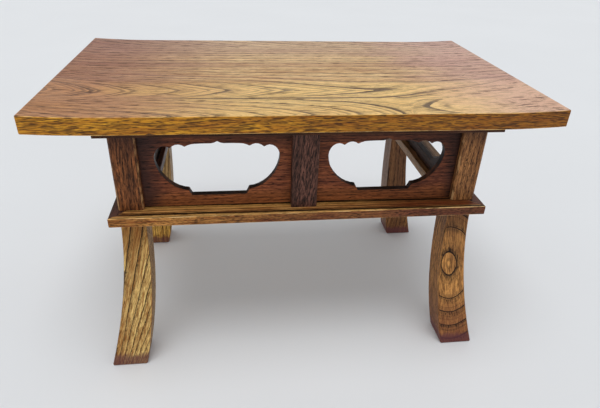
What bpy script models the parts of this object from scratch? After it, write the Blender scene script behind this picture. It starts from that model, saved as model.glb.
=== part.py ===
"""A low sutra table in lacquered wood: a thick top with upturned ends on a box of pierced panels,
with a projecting ledge and four legs that sweep outwards. Metres, +Z up, standing on Z = 0."""

import math

import bmesh
import bpy

# Top board
TOP_WIDTH = 0.426
TOP_DEPTH = 0.256
TOP_THICK = 0.0145
TOP_END_RISE = 0.002
TOP_RISE_RUN = 0.062
TOP_RISE_STEPS = 8
TOP_ARRIS = 0.0009

# How far the top board reaches past the outer faces of the corner posts
TOP_OVERHANG_X = 0.05465
TOP_OVERHANG_Y = 0.0218

# Thin frame under the top board, and how far it reaches past the posts
FRAME_THICK = 0.0059
FRAME_BOARD = 0.0325
FRAME_REACH_X = 0.00785
FRAME_REACH_Y = 0.0115
FRAME_ARRIS = 0.0005

# Ledge under the panels, and how far it reaches past the posts
LEDGE_THICK = 0.0085
LEDGE_BOARD = 0.0325
LEDGE_REACH_X = 0.00665
LEDGE_REACH_Y = 0.0128
LEDGE_ARRIS = 0.0008

# Corner posts
POST_WIDTH = 0.02135
POST_DEPTH = 0.0252
POST_HEIGHT = 0.0702
POST_CHAMFER = 0.0014

# Centre posts, with a stub tenon at each end
CENTRE_POST_WIDTH = 0.0224
CENTRE_POST_DEPTH = 0.0200
CENTRE_POST_PROUD = 0.0036
CENTRE_POST_CHAMFER = 0.0006
TENON_WIDTH = 0.012
TENON_DEPTH = 0.008
TENON_LENGTH = 0.003

# Pierced panels, let into grooves in the posts
PANEL_THICK = 0.0068
PANEL_TONGUE = 0.0030
FRONT_PANEL_RECESS = 0.0057
SIDE_PANEL_RECESS = 0.01275
PANEL_ARRIS = 0.0004

# Wood left round each opening, and the length of the scalloped stretch at each of its ends
OPENING_POST_SIDE = 0.0121
OPENING_CENTRE_SIDE = 0.0097
OPENING_BELOW = 0.0099
OPENING_ABOVE = 0.0106
OPENING_FLANK = 0.0262

# Points on half the outline of an opening, in shares of its half width and of its height
SILL_END = (0.450, 0.0)
NOTCH = (0.497, 0.104)
WIDEST = (1.0, 0.707)
CROWN = (0.830, 0.924)
OUTER_CUSP = (0.744, 0.888)
INNER_CUSP = (0.512, 0.908)
SHOULDER = (0.36, 0.957)
PEAK_FOOT = (0.10, 0.962)
PEAK = (0.0, 1.0)

# How full the curve of the belly is, and how far the scallops bow, in shares of the height
BELLY_POWER = 1.8
CROWN_POWER = 2.0
CROWN_BOW = 0.008
LOBE_BOW = 0.052
SHOULDER_BOW = 0.012
BROW_BOW = 0.002
PEAK_BOW = -0.008

# Points on each stretch of that outline
BELLY_STEPS = 9
CROWN_STEPS = 5
LOBE_STEPS = 5
SHOULDER_STEPS = 3
SHORT_STEPS = 2

# Legs: they leave the ledge with the section of the post and spread down to the foot
LEG_HEIGHT = 0.1570
LEG_OUTWARD_X = 0.0256
LEG_INWARD_X = 0.0137
LEG_OUTWARD_Y = 0.0160
LEG_INWARD_Y = 0.0090
LEG_OUTER_CURVE = 1.8
LEG_INNER_CURVE = 2.5
LEG_STEPS = 12
LEG_ARRIS = 0.0012
FOOT_ROUND = 0.0016

# Hidden joinery
LEG_DOWEL_RADIUS = 0.0045
LEG_DOWEL_SEAT = 0.011
TOP_DOWEL_RADIUS = 0.0040
TOP_DOWEL_POST_SEAT = 0.011
TOP_DOWEL_TOP_SEAT = 0.006
DOWEL_CHAMFER = 0.0008
KEY_LENGTH = 0.014
KEY_WIDTH = 0.010
KEY_SETBACK = 0.006
LEDGE_KEY_THICK = 0.0025
FRAME_KEY_THICK = 0.0018
SCREW_HEAD_RADIUS = 0.0034
SCREW_SHANK_RADIUS = 0.0017
SCREW_SEAT = 0.009
SCREW_RIM = 0.0005
SCREW_POINT = 0.003
SCREW_TIP_SHARE = 0.25
SCREW_EDGE = 0.0046
ROUND_SIDES = 16

# Clearance between pieces that touch
GAP = 0.0003

# Rounding of the arrises: facets across one, and the angle past which an edge counts as one
ARRIS_FACETS = 2
TOP_ARRIS_ANGLE = math.radians(60)
PANEL_ARRIS_ANGLE = math.radians(40)

# Levels, from the floor up
LEDGE_BOTTOM = LEG_HEIGHT + GAP
LEDGE_TOP = LEDGE_BOTTOM + LEDGE_THICK
POST_BOTTOM = LEDGE_TOP + GAP
POST_TOP = POST_BOTTOM + POST_HEIGHT
FRAME_BOTTOM = POST_TOP + GAP
FRAME_TOP = FRAME_BOTTOM + FRAME_THICK
TOP_BOTTOM = FRAME_TOP + GAP

# Plan positions, as distances from the middle
POST_OUT_X = TOP_WIDTH / 2 - TOP_OVERHANG_X
POST_OUT_Y = TOP_DEPTH / 2 - TOP_OVERHANG_Y
POST_IN_X = POST_OUT_X - POST_WIDTH
POST_IN_Y = POST_OUT_Y - POST_DEPTH
POST_X = (POST_OUT_X + POST_IN_X) / 2
POST_Y = (POST_OUT_Y + POST_IN_Y) / 2
LEDGE_X = POST_OUT_X + LEDGE_REACH_X
LEDGE_Y = POST_OUT_Y + LEDGE_REACH_Y
FRAME_X = POST_OUT_X + FRAME_REACH_X
FRAME_Y = POST_OUT_Y + FRAME_REACH_Y
CENTRE_POST_Y = POST_OUT_Y + CENTRE_POST_PROUD - CENTRE_POST_DEPTH / 2
FRONT_PANEL_Y = POST_OUT_Y - FRONT_PANEL_RECESS - PANEL_THICK / 2
SIDE_PANEL_X = POST_OUT_X - SIDE_PANEL_RECESS - PANEL_THICK / 2
FRONT_PANEL_IN_X = CENTRE_POST_WIDTH / 2
FRONT_OPENING_OUT_X = POST_IN_X - OPENING_POST_SIDE
FRONT_OPENING_IN_X = FRONT_PANEL_IN_X + OPENING_CENTRE_SIDE
FRONT_OPENING_X = (FRONT_OPENING_OUT_X + FRONT_OPENING_IN_X) / 2
FRONT_OPENING = FRONT_OPENING_OUT_X - FRONT_OPENING_IN_X
SIDE_OPENING = 2 * (POST_IN_Y - OPENING_POST_SIDE)
OPENING_SILL = POST_BOTTOM + OPENING_BELOW
OPENING_HEIGHT = POST_HEIGHT - OPENING_BELOW - OPENING_ABOVE
SCREW_Y = FRAME_Y - FRAME_BOARD + SCREW_EDGE

SIDES = {"left": -1, "right": 1}
ENDS = {"front": -1, "back": 1}
CORNERS = {f"{end_name}_{side_name}": (side, end)
           for end_name, end in ENDS.items() for side_name, side in SIDES.items()}


# Scene helpers
def linear(value):
    """One sRGB channel, 0 to 255, as linear light."""
    share = value / 255
    return share / 12.92 if share <= 0.04045 else ((share + 0.055) / 1.055) ** 2.4


def material(name, colour, roughness, metallic=0.0):
    made = bpy.data.materials.new(name)
    made.use_nodes = True
    shader = made.node_tree.nodes["Principled BSDF"]
    shader.inputs["Base Color"].default_value = (*[linear(channel) for channel in colour], 1)
    shader.inputs["Roughness"].default_value = roughness
    shader.inputs["Metallic"].default_value = metallic
    return made


def add_object(name, bm, finish, parent, cutters=()):
    """Turns a bmesh into a named object and lets the cutters cut it."""
    bmesh.ops.recalc_face_normals(bm, faces=bm.faces)
    mesh = bpy.data.meshes.new(name)
    bm.to_mesh(mesh)
    bm.free()
    made = bpy.data.objects.new(name, mesh)
    bpy.context.collection.objects.link(made)
    made.parent = parent
    if finish:
        mesh.materials.append(finish)
    for cutter in cutters:
        cut = made.modifiers.new(cutter.name, "BOOLEAN")
        cut.operation = "DIFFERENCE"
        cut.solver = "EXACT"
        cut.object = cutter
    return made


def add_cutter(name, bm, parent):
    made = add_object(name, bm, None, parent)
    made.hide_render = True
    made.display_type = "WIRE"
    return made


# Shape helpers
def loft(bm, rings):
    """A closed solid through rings of points that have the same count."""
    loops = [[bm.verts.new(point) for point in ring] for ring in rings]
    for lower, upper in zip(loops, loops[1:]):
        for i in range(len(lower)):
            j = (i + 1) % len(lower)
            bm.faces.new((lower[i], lower[j], upper[j], upper[i]))
    bm.faces.new(loops[0])
    bm.faces.new(loops[-1])


def rounded_rectangle(x0, x1, y0, y1, radius, z, steps):
    """A rectangle's corners rounded in so many steps: one step is a flat chamfer."""
    corners = ((x1 - radius, y1 - radius), (x0 + radius, y1 - radius),
               (x0 + radius, y0 + radius), (x1 - radius, y0 + radius))
    points = []
    for turn, (x, y) in enumerate(corners):
        for step in range(steps + 1):
            angle = (turn + step / steps) * math.pi / 2
            points.append((x + radius * math.cos(angle), y + radius * math.sin(angle), z))
    return points


def box(bm, low, high):
    loft(bm, [[(low[0], low[1], z), (high[0], low[1], z), (high[0], high[1], z), (low[0], high[1], z)]
              for z in (low[2], high[2])])


def turned(bm, x, y, profile):
    """A round solid: profile gives (radius, z) from the bottom up, with no radius of nought."""
    rings = []
    for radius, z in profile:
        turns = [2 * math.pi * i / ROUND_SIDES for i in range(ROUND_SIDES)]
        rings.append([(x + radius * math.cos(a), y + radius * math.sin(a), z) for a in turns])
    loft(bm, rings)


def soften(bm, edges, width):
    bmesh.ops.bevel(bm, geom=edges, offset=width, segments=ARRIS_FACETS, profile=0.5, affect="EDGES",
                    clamp_overlap=True)


# Outline of the openings
def bulge(start, end, height, steps):
    """Points after start up to end, bowed upwards by height in the middle."""
    points = []
    for step in range(1, steps + 1):
        t = step / steps
        rise = 4 * height * t * (1 - t)
        points.append((start[0] + (end[0] - start[0]) * t, start[1] + (end[1] - start[1]) * t + rise))
    return points


def quarter(start, end, power, steps):
    """Points after start up to end on a quarter of a rounded form that leaves start level with it."""
    points = []
    for step in range(1, steps + 1):
        angle = step / steps * math.pi / 2
        across, up = math.sin(angle) ** (2 / power), 1 - math.cos(angle) ** (2 / power)
        points.append((start[0] + (end[0] - start[0]) * across, start[1] + (end[1] - start[1]) * up))
    return points


def kozama_half():
    """The right half of the scalloped opening, from the end of its flat sill up to its peak."""
    points = [SILL_END, NOTCH]
    points += quarter(NOTCH, WIDEST, BELLY_POWER, BELLY_STEPS)
    points += reversed(quarter(CROWN, WIDEST, CROWN_POWER, CROWN_STEPS)[:-1])
    points.append(CROWN)
    points += bulge(CROWN, OUTER_CUSP, CROWN_BOW, SHORT_STEPS)
    points += bulge(OUTER_CUSP, INNER_CUSP, LOBE_BOW, LOBE_STEPS)
    points += bulge(INNER_CUSP, SHOULDER, SHOULDER_BOW, SHOULDER_STEPS)
    points += bulge(SHOULDER, PEAK_FOOT, BROW_BOW, SHORT_STEPS)
    points += bulge(PEAK_FOOT, PEAK, PEAK_BOW, SHORT_STEPS)
    return points


def kozama(width):
    """The whole outline as (across, up) points on its sill: only the part between the notches stretches."""
    middle = width / 2 - OPENING_FLANK
    half = []
    for u, v in kozama_half():
        if u <= NOTCH[0]:
            across = middle * u / NOTCH[0]
        else:
            across = middle + OPENING_FLANK * (u - NOTCH[0]) / (WIDEST[0] - NOTCH[0])
        half.append((across, v * OPENING_HEIGHT))
    return half + [(-across, up) for across, up in reversed(half[:-1])]


# Panel boxes, tongues included
def front_panel(bm, side, end, spare=0.0):
    x = sorted((side * (FRONT_PANEL_IN_X - PANEL_TONGUE - spare), side * (POST_IN_X + PANEL_TONGUE + spare)))
    half = PANEL_THICK / 2 + spare
    y = end * FRONT_PANEL_Y
    box(bm, (x[0], y - half, POST_BOTTOM - spare), (x[1], y + half, POST_TOP + spare))


def side_panel(bm, side, spare=0.0):
    half = PANEL_THICK / 2 + spare
    x, y = side * SIDE_PANEL_X, POST_IN_Y + PANEL_TONGUE + spare
    box(bm, (x - half, -y, POST_BOTTOM - spare), (x + half, y, POST_TOP + spare))


# Joinery at one corner, drawn with no spare room for the piece and with a gap for its hole
def dowel(bm, side, end, radius, bottom, top, spare):
    wide, slim = radius + spare, radius - DOWEL_CHAMFER + spare
    low, high = bottom - spare, top + spare
    turned(bm, side * POST_X, end * POST_Y, [(slim, low), (wide, low + DOWEL_CHAMFER),
                                             (wide, high - DOWEL_CHAMFER), (slim, high)])


def leg_dowel(bm, side, end, spare=0.0):
    dowel(bm, side, end, LEG_DOWEL_RADIUS, LEG_HEIGHT - LEG_DOWEL_SEAT, POST_BOTTOM + LEG_DOWEL_SEAT, spare)


def top_dowel(bm, side, end, spare=0.0):
    bottom, top = POST_TOP - TOP_DOWEL_POST_SEAT, TOP_BOTTOM + TOP_DOWEL_TOP_SEAT
    dowel(bm, side, end, TOP_DOWEL_RADIUS, bottom, top, spare)


def mitre_key(bm, corner, direction, middle, thick, spare):
    """A flat key that lies across the mitre of a frame, halfway up its boards."""
    along, across, half = KEY_LENGTH / 2 + spare, KEY_WIDTH / 2 + spare, thick / 2 + spare
    slant = math.sqrt(0.5)
    inward = (KEY_SETBACK + KEY_LENGTH / 2) * slant
    (side, end), (x, y) = direction, corner
    plan = []
    for a, c in ((-along, -across), (along, -across), (along, across), (-along, across)):
        plan.append((side * (x - inward + slant * (a - c)), end * (y - inward + slant * (a + c))))
    loft(bm, [[(px, py, middle + lift) for px, py in plan] for lift in (-half, half)])


def ledge_key(bm, side, end, spare=0.0):
    middle = (LEDGE_BOTTOM + LEDGE_TOP) / 2
    mitre_key(bm, (LEDGE_X, LEDGE_Y), (side, end), middle, LEDGE_KEY_THICK, spare)


def frame_key(bm, side, end, spare=0.0):
    middle = (FRAME_BOTTOM + FRAME_TOP) / 2
    mitre_key(bm, (FRAME_X, FRAME_Y), (side, end), middle, FRAME_KEY_THICK, spare)


def screw(bm, side, end, spare=0.0):
    head, shank = SCREW_HEAD_RADIUS + spare, SCREW_SHANK_RADIUS + spare
    bottom, top = FRAME_BOTTOM - spare, TOP_BOTTOM + SCREW_SEAT + spare
    cone = FRAME_BOTTOM + SCREW_RIM
    turned(bm, side * FRONT_OPENING_X, end * SCREW_Y,
           [(head, bottom), (head, cone), (shank, cone + head - shank),
            (shank, top - SCREW_POINT), (shank * SCREW_TIP_SHARE, top)])


def tenon(bm, end, spare):
    """The two stub tenons of a centre post as one block through its height."""
    half_x, half_y = TENON_WIDTH / 2 + spare, TENON_DEPTH / 2 + spare
    y, reach = end * CENTRE_POST_Y, TENON_LENGTH + spare
    box(bm, (-half_x, y - half_y, POST_BOTTOM - reach), (half_x, y + half_y, POST_TOP + reach))


def opening_prism(bm, centre, width, across_x):
    """The opening as a prism that runs past both faces of a panel, which lies along X or along Y."""
    outline = kozama(width)
    rings = []
    for past in (-PANEL_THICK, PANEL_THICK):
        if across_x:
            rings.append([(centre[0] + u, centre[1] + past, OPENING_SILL + v) for u, v in outline])
        else:
            rings.append([(centre[0] + past, centre[1] + u, OPENING_SILL + v) for u, v in outline])
    loft(bm, rings)


# Wooden pieces
def top_board():
    flat = TOP_WIDTH / 2 - TOP_RISE_RUN
    shares = [step / TOP_RISE_STEPS for step in range(TOP_RISE_STEPS + 1)]
    rising = [(flat + TOP_RISE_RUN * share, TOP_END_RISE * share ** 2) for share in shares]
    curve = [(-x, rise) for x, rise in reversed(rising)] + rising
    outline = [(x, TOP_BOTTOM + rise) for x, rise in curve]
    outline += [(x, TOP_BOTTOM + TOP_THICK + rise) for x, rise in reversed(curve)]
    bm = bmesh.new()
    loft(bm, [[(x, y, z) for x, z in outline] for y in (-TOP_DEPTH / 2, TOP_DEPTH / 2)])
    bmesh.ops.recalc_face_normals(bm, faces=bm.faces)
    soften(bm, [edge for edge in bm.edges if edge.calc_face_angle() > TOP_ARRIS_ANGLE], TOP_ARRIS)
    return bm


def mitred_board(place, half_x, half_y, board, bottom, top, arris):
    """One board of a mitred frame: place is front, back, left or right."""
    mitre = GAP * math.sqrt(0.5)
    if place in ENDS:
        sign, reach, edge = ENDS[place], half_x - mitre, half_y
        plan = [(-reach, edge), (reach, edge), (reach - board, edge - board), (board - reach, edge - board)]
        plan = [(x, sign * y) for x, y in plan]
        lengthwise = 0
    else:
        sign, reach, edge = SIDES[place], half_y - mitre, half_x
        plan = [(edge, -reach), (edge, reach), (edge - board, reach - board), (edge - board, board - reach)]
        plan = [(sign * x, y) for x, y in plan]
        lengthwise = 1
    bm = bmesh.new()
    loft(bm, [[(x, y, z) for x, y in plan] for z in (bottom, top)])
    across = 1 - lengthwise
    long_edges = [e for e in bm.edges if abs(e.verts[0].co[across] - e.verts[1].co[across]) < GAP
                  and abs(e.verts[0].co.z - e.verts[1].co.z) < GAP]
    soften(bm, long_edges, arris)
    return bm


def corner_post(side, end):
    x, y = sorted((side * POST_IN_X, side * POST_OUT_X)), sorted((end * POST_IN_Y, end * POST_OUT_Y))
    bm = bmesh.new()
    loft(bm, [rounded_rectangle(*x, *y, POST_CHAMFER, z, 1) for z in (POST_BOTTOM, POST_TOP)])
    return bm


def centre_post(end):
    y = end * CENTRE_POST_Y

    def section(width, depth, z):
        half_x, half_y = width / 2, depth / 2
        return rounded_rectangle(-half_x, half_x, y - half_y, y + half_y, CENTRE_POST_CHAMFER, z, 1)

    tenon_size, body_size = (TENON_WIDTH, TENON_DEPTH), (CENTRE_POST_WIDTH, CENTRE_POST_DEPTH)
    bm = bmesh.new()
    loft(bm, [section(*tenon_size, POST_BOTTOM - TENON_LENGTH), section(*tenon_size, POST_BOTTOM),
              section(*body_size, POST_BOTTOM), section(*body_size, POST_TOP),
              section(*tenon_size, POST_TOP), section(*tenon_size, POST_TOP + TENON_LENGTH)])
    return bm


def leg(side, end):
    """A leg as sections from the rounded foot up to the ledge, spreading as it goes down."""
    levels = [(FOOT_ROUND * (1 - math.cos(angle)), FOOT_ROUND * (1 - math.sin(angle)))
              for angle in (0.0, math.pi / 4, math.pi / 2)]
    shares = [step / LEG_STEPS for step in range(1, LEG_STEPS + 1)]
    levels += [(FOOT_ROUND * (1 - share) + LEG_HEIGHT * share, 0.0) for share in shares]
    bm = bmesh.new()
    rings = []
    for z, inset in levels:
        drop = (LEG_HEIGHT - z) / LEG_HEIGHT
        out, inn = drop ** LEG_OUTER_CURVE, drop ** LEG_INNER_CURVE
        x0, x1 = sorted((side * (POST_OUT_X + LEG_OUTWARD_X * out), side * (POST_IN_X + LEG_INWARD_X * inn)))
        y0, y1 = sorted((end * (POST_OUT_Y + LEG_OUTWARD_Y * out), end * (POST_IN_Y + LEG_INWARD_Y * inn)))
        plan = (x0 + inset, x1 - inset, y0 + inset, y1 - inset)
        rings.append(rounded_rectangle(*plan, LEG_ARRIS, z, ARRIS_FACETS))
    loft(bm, rings)
    return bm


def drawn(shape, *signs):
    """A new bmesh with one shape in it."""
    bm = bmesh.new()
    shape(bm, *signs)
    return bm


def chamfer_openings(piece):
    chamfer = piece.modifiers.new("arris", "BEVEL")
    chamfer.width = PANEL_ARRIS
    chamfer.segments = 1
    chamfer.limit_method = "ANGLE"
    chamfer.angle_limit = PANEL_ARRIS_ANGLE


def clear_scene():
    for old in list(bpy.data.objects):
        bpy.data.objects.remove(old, do_unlink=True)


def build():
    clear_scene()
    table = bpy.data.objects.new("sutra_table", None)
    bpy.context.collection.objects.link(table)

    top_wood = material("top_wood", (158, 104, 58), 0.35)
    frame_wood = material("frame_wood", (70, 40, 24), 0.45)
    post_wood = material("post_wood", (112, 74, 44), 0.40)
    centre_wood = material("centre_wood", (78, 52, 46), 0.42)
    panel_wood = material("panel_wood", (92, 50, 34), 0.42)
    ledge_wood = material("ledge_wood", (136, 86, 48), 0.38)
    leg_wood = material("leg_wood", (160, 112, 58), 0.40)
    dowel_wood = material("dowel_wood", (188, 150, 104), 0.60)
    screw_steel = material("screw_steel", (170, 168, 160), 0.35, 1.0)

    cuts = {name: bmesh.new() for name in ("dowels", "keys", "screws", "openings", "grooves", "mortises")}
    for side, end in CORNERS.values():
        leg_dowel(cuts["dowels"], side, end, GAP)
        top_dowel(cuts["dowels"], side, end, GAP)
        ledge_key(cuts["keys"], side, end, GAP)
        frame_key(cuts["keys"], side, end, GAP)
        screw(cuts["screws"], side, end, GAP)
        front_panel(cuts["grooves"], side, end, GAP)
        opening_prism(cuts["openings"], (side * FRONT_OPENING_X, end * FRONT_PANEL_Y), FRONT_OPENING, True)
    for side in SIDES.values():
        side_panel(cuts["grooves"], side, GAP)
        opening_prism(cuts["openings"], (side * SIDE_PANEL_X, 0.0), SIDE_OPENING, False)
    for end in ENDS.values():
        tenon(cuts["mortises"], end, GAP)
    cutters = {name: add_cutter(f"cut_{name}", bm, table) for name, bm in cuts.items()}

    def piece(name, bm, finish, *cut_names):
        return add_object(name, bm, finish, table, [cutters[cut] for cut in cut_names])

    piece("top_board", top_board(), top_wood, "dowels", "screws")
    for place in (*ENDS, *SIDES):
        rail = mitred_board(place, FRAME_X, FRAME_Y, FRAME_BOARD, FRAME_BOTTOM, FRAME_TOP, FRAME_ARRIS)
        board = mitred_board(place, LEDGE_X, LEDGE_Y, LEDGE_BOARD, LEDGE_BOTTOM, LEDGE_TOP, LEDGE_ARRIS)
        extra = ("mortises",) if place in ENDS else ()
        piece(f"top_frame_{place}", rail, frame_wood, "keys", "dowels", "screws", *extra)
        piece(f"ledge_{place}", board, ledge_wood, "keys", "dowels", *extra)
    for end_name, end in ENDS.items():
        piece(f"centre_post_{end_name}", centre_post(end), centre_wood, "grooves")
    for side_name, side in SIDES.items():
        chamfer_openings(piece(f"panel_{side_name}", drawn(side_panel, side), panel_wood, "openings"))
    for corner, signs in CORNERS.items():
        piece(f"corner_post_{corner}", corner_post(*signs), post_wood, "grooves", "dowels")
        piece(f"leg_{corner}", leg(*signs), leg_wood, "dowels")
        chamfer_openings(piece(f"panel_{corner}", drawn(front_panel, *signs), panel_wood, "openings"))
        piece(f"leg_dowel_{corner}", drawn(leg_dowel, *signs), dowel_wood)
        piece(f"top_dowel_{corner}", drawn(top_dowel, *signs), dowel_wood)
        piece(f"ledge_key_{corner}", drawn(ledge_key, *signs), dowel_wood)
        piece(f"top_frame_key_{corner}", drawn(frame_key, *signs), dowel_wood)
        piece(f"top_screw_{corner}", drawn(screw, *signs), screw_steel)


build()
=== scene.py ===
"""Looks for the sutra table: stained ring-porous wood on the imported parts, a pale floor and soft light.

The wood is a solid texture. Its lengths are millimetres in the table's own frame. Colours are sRGB values.
"""

import math
from dataclasses import dataclass
from typing import NamedTuple

import bpy
from mathutils import Matrix, Vector

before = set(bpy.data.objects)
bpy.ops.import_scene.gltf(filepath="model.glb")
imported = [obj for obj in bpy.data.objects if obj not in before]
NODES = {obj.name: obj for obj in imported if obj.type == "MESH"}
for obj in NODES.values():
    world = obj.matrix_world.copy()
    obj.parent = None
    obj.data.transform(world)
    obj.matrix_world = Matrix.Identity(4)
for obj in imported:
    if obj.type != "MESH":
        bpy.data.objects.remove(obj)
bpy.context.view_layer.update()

MM = 1000.0
AXES = "xyz"
scene = bpy.context.scene


# Colour helpers
SRGB_FULL = 255
SRGB_KNEE, SRGB_SLOPE = 0.04045, 12.92
SRGB_OFFSET, SRGB_POWER = 0.055, 2.4


def linear(value):
    share = value / SRGB_FULL
    if share <= SRGB_KNEE:
        return share / SRGB_SLOPE
    return ((share + SRGB_OFFSET) / (1 + SRGB_OFFSET)) ** SRGB_POWER


def srgb(red, green, blue):
    return (linear(red), linear(green), linear(blue), 1.0)


# Node helpers, and the sockets of a Mix node that mixes colours
UNIT = (0.0, 1.0)
FALLING = (1.0, 0.0)
MIX_SHARE, MIX_FIRST, MIX_SECOND, MIX_RESULT = 0, 6, 7, 2


class Nodes:
    """Adds linked nodes to one node tree."""

    def __init__(self, tree):
        self.nodes = tree.nodes
        self.links = tree.links

    def put(self, socket, value):
        if isinstance(value, bpy.types.NodeSocket):
            self.links.new(value, socket)
        else:
            socket.default_value = value

    def calc(self, operation, first, second=0.0):
        node = self.nodes.new("ShaderNodeMath")
        node.operation = operation
        self.put(node.inputs[0], first)
        self.put(node.inputs[1], second)
        return node.outputs[0]

    def add(self, first, second):
        return self.calc("ADD", first, second)

    def sub(self, first, second):
        return self.calc("SUBTRACT", first, second)

    def mul(self, first, second):
        return self.calc("MULTIPLY", first, second)

    def power(self, base, exponent):
        return self.calc("POWER", base, exponent)

    def most(self, first, second):
        return self.calc("MAXIMUM", first, second)

    def size(self, value):
        return self.calc("ABSOLUTE", value)

    def below(self, value, limit):
        return self.calc("LESS_THAN", value, limit)

    def remap(self, value, limits, to=UNIT, smooth=True):
        """The value, taken from one pair of limits to another and held at their ends."""
        node = self.nodes.new("ShaderNodeMapRange")
        node.interpolation_type = "SMOOTHSTEP" if smooth else "LINEAR"
        node.clamp = True
        for socket, setting in zip(node.inputs, (value, *limits, *to)):
            self.put(socket, setting)
        return node.outputs[0]

    def blend(self, share, first, second):
        return self.add(first, self.mul(self.sub(second, first), share))

    def split(self, vector):
        node = self.nodes.new("ShaderNodeSeparateXYZ")
        self.put(node.inputs[0], vector)
        return node.outputs

    def join(self, x, y, z):
        node = self.nodes.new("ShaderNodeCombineXYZ")
        for socket, value in zip(node.inputs, (x, y, z)):
            self.put(socket, value)
        return node.outputs[0]

    def stretch(self, vector, factors):
        node = self.nodes.new("ShaderNodeVectorMath")
        node.operation = "MULTIPLY"
        self.put(node.inputs[0], vector)
        self.put(node.inputs[1], factors)
        return node.outputs[0]

    def noise(self, vector, detail=2.0, rough=0.5, colour=False):
        node = self.nodes.new("ShaderNodeTexNoise")
        node.noise_dimensions = "3D"
        self.put(node.inputs["Vector"], vector)
        node.inputs["Scale"].default_value = 1.0
        node.inputs["Detail"].default_value = detail
        node.inputs["Roughness"].default_value = rough
        return node.outputs["Color" if colour else "Fac"]

    def noise_line(self, value, detail=1.0):
        node = self.nodes.new("ShaderNodeTexNoise")
        node.noise_dimensions = "1D"
        self.put(node.inputs["W"], value)
        node.inputs["Scale"].default_value = 1.0
        node.inputs["Detail"].default_value = detail
        return node.outputs["Fac"]

    def mix(self, share, first, second, blend="MIX"):
        node = self.nodes.new("ShaderNodeMix")
        node.data_type, node.blend_type = "RGBA", blend
        self.put(node.inputs[MIX_SHARE], share)
        self.put(node.inputs[MIX_FIRST], first)
        self.put(node.inputs[MIX_SECOND], second)
        return node.outputs[MIX_RESULT]

    def bump(self, height, strength, distance):
        node = self.nodes.new("ShaderNodeBump")
        self.put(node.inputs["Height"], height)
        node.inputs["Strength"].default_value = strength
        node.inputs["Distance"].default_value = distance
        return node.outputs["Normal"]


class Shader(Nodes):
    """The nodes of one new material."""

    def __init__(self, name):
        self.material = bpy.data.materials.new(name)
        self.material.use_nodes = True
        super().__init__(self.material.node_tree)
        self.surface = self.nodes["Principled BSDF"]

    def place(self):
        """Coordinates in the object's own frame, in metres."""
        return self.nodes.new("ShaderNodeTexCoord").outputs["Object"]


# Figure of the top board: on the right its lines turn towards the back
SWEEP_FROM_X = 55.0
SWEEP_EASE = 50.0
SWEEP_SLOPE = 0.44

# Arrow heads along the middle of the board
HEADS_Y = -66.0
HEADS_TIP_X = 80.0
HEADS_SWEPT = (-21.0, 80.0)
HEADS_FADE = (15.0, 75.0)
HEADS_PHASE = 0.055
ARM_POWER, ARM_RATE = 1.3, 0.0178
FRONT_ARM_X, FRONT_ARM_WIDTH = (20.0, 75.0), 22.0
FRONT_ARM_POWER, FRONT_ARM_RATE = 8.0, 2.5
REACH_POWER, REACH_SCALE = 1.6, 1400.0
BEYOND_TIP_X, BEYOND_TIP_RINGS = (72.0, 130.0), 0.45

# Fan by the front edge, and the blunt head that follows it on the right
FAN_END_X, FAN_LENGTH = 75.0, 35.0
FAN_EDGE_Y, FAN_DEPTH = -130.0, 43.0
FAN_POWER = 1.4
FAN_OPENING, FAN_WIDENING = 0.9, 0.8
FAN_PHASE = 0.05
FAN_TO_BLUNT_X = (72.0, 94.0)
BLUNT_TIP_X, BLUNT_Y = 98.0, -110.0
BLUNT_POWER, BLUNT_RATE = 1.5, 0.326
BLUNT_OUTER_RING, BLUNT_INNER_RING = 40.0, 95.0
BLUNT_PHASE = 0.02

# Slanting lines by the back edge
BACK_FROM_Y = 96.0
BACK_AXIS_Y, BACK_START_X = 140.0, -240.0
BACK_POWER, BACK_RATE = 1.5, 0.0107
BACK_RING = 38.0

# Dark seam between the arrow heads and the front figures
SEAM_Y = -87.0
SEAM_EDGE = (0.8, 2.4)
SEAM_START_X, SEAM_DARK = (-150.0, -60.0), 0.9

# How the strength of the board's lines, or of their calming, changes between two places
FADE_BACK_Y, FADE_BACK = (-30.0, 50.0), (1.0, 0.55)
FADE_RIGHT_X, FADE_RIGHT = (95.0, 150.0), (1.0, 0.55)
FADE_LEFT_X, FADE_LEFT = (-200.0, -90.0), (0.75, 1.0)
CALM_FRONT_X, CALM_FRONT = (104.0, 124.0), (0.0, 0.85)
SHOW_BACK_Y, SHOW_BACK = (94.0, 104.0), (0.0, 0.85)

# Eye of the right front leg: its place, its half sizes, the rings round it as shares of those, and inwards
EYE_X, EYE_Z, EYE_LEAN = 147.4, 95.5, 0.14
EYE_HALF_WIDTH, EYE_HALF_HEIGHT = 7.3, 12.7
EYE_NEAR_FROM, EYE_NEAR_RING = 1.0, 2.2
EYE_FAR_FROM, EYE_FAR_RING = 1.9, 1.3
EYE_RING_INWARDS = 4.4

# Lines of the left front leg, which slant and spread upwards
SLANT_X, SLANT_Z, SLANT = -155.9, 90.0, 0.257
SLANT_RING, SLANT_SPREAD = 8.0, 0.045


def board_sweep(wood, x):
    """How far the board's lines have turned towards the back, on the right."""
    over = wood.most(wood.sub(x, SWEEP_FROM_X), 0.0)
    return wood.calc("DIVIDE", wood.mul(over, over), wood.add(over, SWEEP_EASE))


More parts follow.
